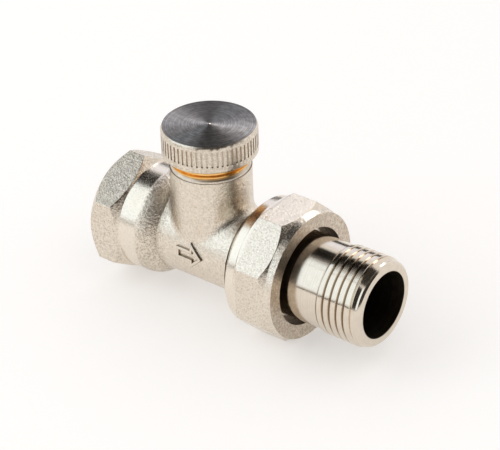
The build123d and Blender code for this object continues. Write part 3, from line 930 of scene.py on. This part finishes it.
for finish, recipe in turned_finishes.items():
    finishes[finish] = turned_metal(*recipe)
print("materials:", [material.name for material in finishes.values()])


# %% [markdown]
# ## Giving each piece its finish
# A piece can carry several finishes. Each face picks its own by where it lies, so the turned rim of
# the neck or the painted shade in the tailpiece's bore needs no separate mesh.

# %% Finishes by face
def dress(piece, main, *others):
    """Give a piece a main finish, and others to the faces that a test picks."""
    mesh = piece.data
    mesh.materials.clear()
    mesh.materials.append(finishes[main])
    for finish, _ in others:
        mesh.materials.append(finishes[finish])
    picks = []
    for polygon in mesh.polygons:
        index = 0
        for number, (_, test) in enumerate(others, 1):
            if test(polygon.center, polygon.normal):
                index = number
        picks.append(index)
    mesh.polygons.foreach_set("material_index", picks)
    print(piece.name, {name: picks.count(i) for i, name in enumerate([main, *[o[0] for o in others]])})


# %% Tests that pick faces
widest_bore_r = tube_r - 0.4 * mm
union_flare_r = 10.2 * mm


def in_pipe_bore(centre, normal):
    """True on walls that face the pipe's axis from inside, and on the socket's flat floor."""
    outward = centre.y * normal.y + centre.z * normal.z
    if centre.x < socket_depth + mm:
        steepest = 0.1 * pipe_radius(centre) if centre.x > mm else 0
        return outward < steepest and pipe_radius(centre) < socket_r + 0.2 * mm
    return outward < 0 and pipe_radius(centre) < widest_bore_r


def on_arrow_side(centre, normal):
    """True on the steep sides of the raised arrow."""
    return centre.y * normal.y + centre.z * normal.z < 0.8 * pipe_radius(centre)


def in_nut_bore(centre, normal):
    """True on the nut's inner walls, which never see the light."""
    return centre.y * normal.y + centre.z * normal.z < -0.3 * pipe_radius(centre)


def on_nut_face(centre, normal):
    """True on the nut's flat front."""
    return normal.x > 0.95 and centre.x > nut_high.x - 0.3 * mm


def in_neck_bore(centre, normal):
    """True inside the neck, but not on the underside of the tube below it."""
    inside = neck_radius(centre) < neck_bore_r and centre.z < body_high.z - 0.1 * mm
    return inside and (centre.z > 0 or pipe_radius(centre) < widest_bore_r)


def on_neck_rim(centre, normal):
    """True on the turned step at the neck's top."""
    return centre.z > body_high.z - 0.5 * mm and neck_radius(centre) > neck_bore_r


def on_union_end(centre, normal):
    """True on the turned flare, thread and face of the union end."""
    return centre.x > forging_end_x and pipe_radius(centre) > union_flare_r


def on_cap_top(centre, normal):
    """True on the cap's flat top."""
    return normal.z > 0.9 and centre.z > cap_high.z - 0.1 * mm


# %% Dress the outer pieces
dress(
    valve_body, "forged", ("neck rim", on_neck_rim), ("bright", on_union_end),
    ("bore", in_pipe_bore), ("bore", in_neck_bore))
dress(union_thread, "bright")
dress(inlet_thread, "bright")
dress(arrow, "bright", ("cast edge", on_arrow_side))
dress(bonnet, "brass")
dress(cap_thread, "brass")
dress(lock_cap, "cap", ("cap face", on_cap_top))
dress(pip, "bright")
dress(union_nut, "nut", ("nut face", on_nut_face), ("bore", in_nut_bore))
dress(nut_thread, "bright")
dress(tailpiece, "tail", ("bore", in_pipe_bore))

# %% [markdown]
# ## Pieces inside
# The spindle, the plug and the seals hardly show, so they keep their CAD meshes and get one finish
# each: black rubber for what seals, plain brass for what is turned, and steel wire for the clip.

# %% Dress the inner pieces
plain_finishes = {
    "bonnet_oring": "rubber", "cap_gasket": "rubber", "seat_washer": "rubber",
    "spindle_oring_lower": "rubber", "spindle_oring_upper": "rubber", "tailpiece_oring": "rubber",
    "spindle": "inner brass", "plug": "inner brass", "washer_screw": "inner brass", "plug_clip": "wire",
}
for node, finish in plain_finishes.items():
    mesh = frame["nodes"][node].data
    mesh.materials.clear()
    mesh.materials.append(finishes[finish])
print("inner pieces:", sorted(plain_finishes))

# %% [markdown]
# ## Studio
# The valve lies on a pale matt floor in a white room, as on a roll of paper. The floor glows a
# little, but only as the camera and the metal see it, so it is near white without lighting the valve
# from below.

# %% Floor and world
floor_z = cad_box[0][2]
floor_half = 3.0
floor_grey = (0.71, 0.70, 0.685)
floor_glow = 0.37
room_white = (1.0, 0.975, 0.965)
ambient = 0.8


def seen_directly(tree):
    """1 for rays from the camera, from metal or through glass, 0 for rays that gather light."""
    path = add(tree, "ShaderNodeLightPath")
    seen = calc(tree, "ADD", path.outputs["Is Camera Ray"], path.outputs["Is Glossy Ray"])
    return calc(tree, "ADD", seen, path.outputs["Is Transmission Ray"], clamp=True)


def build_world():
    """White room, paler to the eye than the light it gives."""
    world = bpy.data.worlds.new("white room")
    world.use_nodes = True
    tree = world.node_tree
    light = tree.nodes["Background"]
    light.inputs["Color"].default_value = (*room_white, 1.0)
    strength = add(tree, "ShaderNodeMix", data_type="FLOAT")
    strength.inputs[2].default_value = ambient
    strength.inputs[3].default_value = 1.0
    tree.links.new(seen_directly(tree), strength.inputs[0])
    tree.links.new(strength.outputs[0], light.inputs["Strength"])
    bpy.context.scene.world = world


def build_floor():
    """Pale matt floor that takes the valve's soft shadow."""
    bm = bmesh.new()
    bmesh.ops.create_grid(
        bm, x_segments=1, y_segments=1, size=floor_half, matrix=Matrix.Translation((0, 0, floor_z)))
    floor = mesh_object("floor", bm)
    material, tree = new_material("pale floor")
    shader = tree.nodes["Principled BSDF"]
    set_inputs(shader, Base_Color=(*floor_grey, 1.0), Roughness=0.9, Specular_IOR_Level=0.1)
    glow = add(tree, "ShaderNodeEmission")
    lift = calc(tree, "MULTIPLY", seen_directly(tree), floor_glow)
    tree.links.new(lift, glow.inputs["Strength"])
    both = add(tree, "ShaderNodeAddShader")
    tree.links.new(shader.outputs[0], both.inputs[0])
    tree.links.new(glow.outputs[0], both.inputs[1])
    tree.links.new(both.outputs[0], tree.nodes["Material Output"].inputs["Surface"])
    floor.data.materials.append(material)


build_world()
build_floor()
print("floor at z", round(floor_z / mm, 2), "mm")


# %% [markdown]
# ## Light and reflections
# A soft light throws the shadow. Polished metal shows mostly what is around it, so bright cards give
# the pipe its white patches and dark cards its black lines, as they do in a real product studio.
# Each card is a plane with edges that fade. It faces the valve and is seen only in reflections.

# %% Soft light and reflection cards
def from_direction(azimuth, elevation, distance):
    """A place in the room, given by compass angle and height angle from the valve."""
    a, e = math.radians(azimuth), math.radians(elevation)
    return Vector((math.cos(a) * math.cos(e), math.sin(a) * math.cos(e), math.sin(e))) * distance


def facing_valve(place):
    """Matrix of something at a place whose -Z looks at the valve."""
    aim = (Vector((neck_x, 0, 0)) - place).to_track_quat("-Z", "Y")
    return Matrix.Translation(place) @ aim.to_matrix().to_4x4()


def soft_light(name, azimuth, elevation, distance, width, height, level):
    """Rectangular soft light with a given brightness of its face."""
    data = bpy.data.lights.new(name, "AREA")
    data.shape = "RECTANGLE"
    data.size = width
    data.size_y = height
    data.energy = level * math.pi * width * height
    light = bpy.data.objects.new(name, data)
    light.matrix_world = facing_valve(from_direction(azimuth, elevation, distance))
    light.visible_camera = False
    light.visible_glossy = False
    bpy.context.scene.collection.objects.link(light)


def reflection_card(name, azimuth, elevation, distance, width, height, colour, strength, softness):
    """Card with soft edges that only shows in reflections; a dark card's colour is near black."""
    bm = bmesh.new()
    bmesh.ops.create_grid(bm, x_segments=1, y_segments=1, size=0.5)
    bmesh.ops.scale(bm, vec=(width, height, 1), verts=bm.verts)
    card = mesh_object(name, bm)
    card.matrix_world = facing_valve(from_direction(azimuth, elevation, distance))
    card.visible_camera = False
    card.visible_diffuse = False
    card.visible_shadow = False
    card.visible_transmission = False
    material, tree = new_material(name)
    tree.nodes.remove(tree.nodes["Principled BSDF"])
    parts = add(tree, "ShaderNodeSeparateXYZ")
    tree.links.new(add(tree, "ShaderNodeTexCoord").outputs["Object"], parts.inputs[0])
    across = calc(tree, "ABSOLUTE", parts.outputs[0])
    upward = calc(tree, "ABSOLUTE", parts.outputs[1])
    mask_x = ramp(tree, across, width / 2, width / 2 * (1 - softness))
    mask_y = ramp(tree, upward, height / 2, height / 2 * (1 - softness))
    mask = calc(tree, "MULTIPLY", mask_x, mask_y)
    glow = add(tree, "ShaderNodeEmission")
    set_inputs(glow, Color=(*colour, 1.0), Strength=strength)
    clear = add(tree, "ShaderNodeBsdfTransparent")
    mix = add(tree, "ShaderNodeMixShader")
    tree.links.new(mask, mix.inputs[0])
    tree.links.new(clear.outputs[0], mix.inputs[1])
    tree.links.new(glow.outputs[0], mix.inputs[2])
    tree.links.new(mix.outputs[0], tree.nodes["Material Output"].inputs["Surface"])
    card.data.materials.append(material)


daylight = (0.84, 0.93, 1.0)
wall_blue = (0.88, 0.9, 1.0)
lamp_white = (0.95, 0.96, 1.0)
slate = (0.05, 0.045, 0.04)
charcoal = (0.04, 0.035, 0.03)
velvet = (0.012, 0.01, 0.008)

# name, compass angle, height angle, distance, width, height, colour, strength, softness of the edge
cards = [
    ("left softbox", -124, 29.5, 1.0, 1.5, 1.0, daylight, 1.46, 0.22),
    ("gap below", -140, 0.6, 0.98, 1.6, 0.1, charcoal, 1.0, 0.4),
    ("softbox wing", -160, 49, 0.99, 0.46, 0.46, daylight, 1.46, 0.15),
    ("gap above", 157, 52, 0.97, 0.66, 0.5, velvet, 1.0, 0.25),
    ("back wall", 130, 20, 1.02, 0.9, 0.74, wall_blue, 1.2, 0.3),
    ("dark back", 124, 8, 1.0, 0.5, 0.3, slate, 1.0, 0.4),
    ("dark front", -64, 28, 0.96, 0.72, 1.1, charcoal, 1.0, 0.3),
    ("dark ceiling", 0, 90, 0.95, 1.1, 1.1, charcoal, 1.0, 0.3),
    ("back light", 104, 37, 1.0, 0.34, 0.3, lamp_white, 7.5, 0.4),
    ("dark right", -10, 30, 1.0, 1.7, 1.2, slate, 1.0, 0.3),
]
soft_light("key light", -125, 40, 1.1, 0.9, 0.7, 1.3)
for card in cards:
    reflection_card(*card)
print("one soft light and", len(cards), "cards:", [card[0] for card in cards])

# %% [markdown]
# ## Camera
# The photograph was taken with a long lens from the front right, 32 degrees above the floor. The
# place, the lens and a small roll were fitted to the photograph's own points.

# %% Camera
image_width, image_height = 500, 450
camera_azimuth = math.radians(39.31)
camera_elevation = math.radians(32.08)
camera_roll = math.radians(-2.158)
camera_distance = 495.33 * mm
focal_pixels = 2200
sensor_width = 36.0
aim = Vector((37.17 * mm, 0, 7.25 * mm))

backwards = Vector((
    math.sin(camera_azimuth) * math.cos(camera_elevation),
    -math.cos(camera_azimuth) * math.cos(camera_elevation),
    math.sin(camera_elevation),
))
level_right = Vector((math.cos(camera_azimuth), math.sin(camera_azimuth), 0))
level_up = backwards.cross(level_right)
right = level_right * math.cos(camera_roll) + level_up * math.sin(camera_roll)
up = level_up * math.cos(camera_roll) - level_right * math.sin(camera_roll)

lens = bpy.data.cameras.new("camera")
lens.sensor_fit = "HORIZONTAL"
lens.sensor_width = sensor_width
lens.lens = focal_pixels * sensor_width / image_width
lens.clip_start = 0.01
lens.clip_end = 20.0
camera = bpy.data.objects.new("camera", lens)
turn = Matrix((right, up, backwards)).transposed().to_4x4()
camera.matrix_world = Matrix.Translation(aim + backwards * camera_distance) @ turn
bpy.context.scene.collection.objects.link(camera)
bpy.context.scene.camera = camera
bpy.context.scene.view_settings.view_transform = "Standard"
print("lens", round(lens.lens, 1), "mm, frame", image_width, "by", image_height)
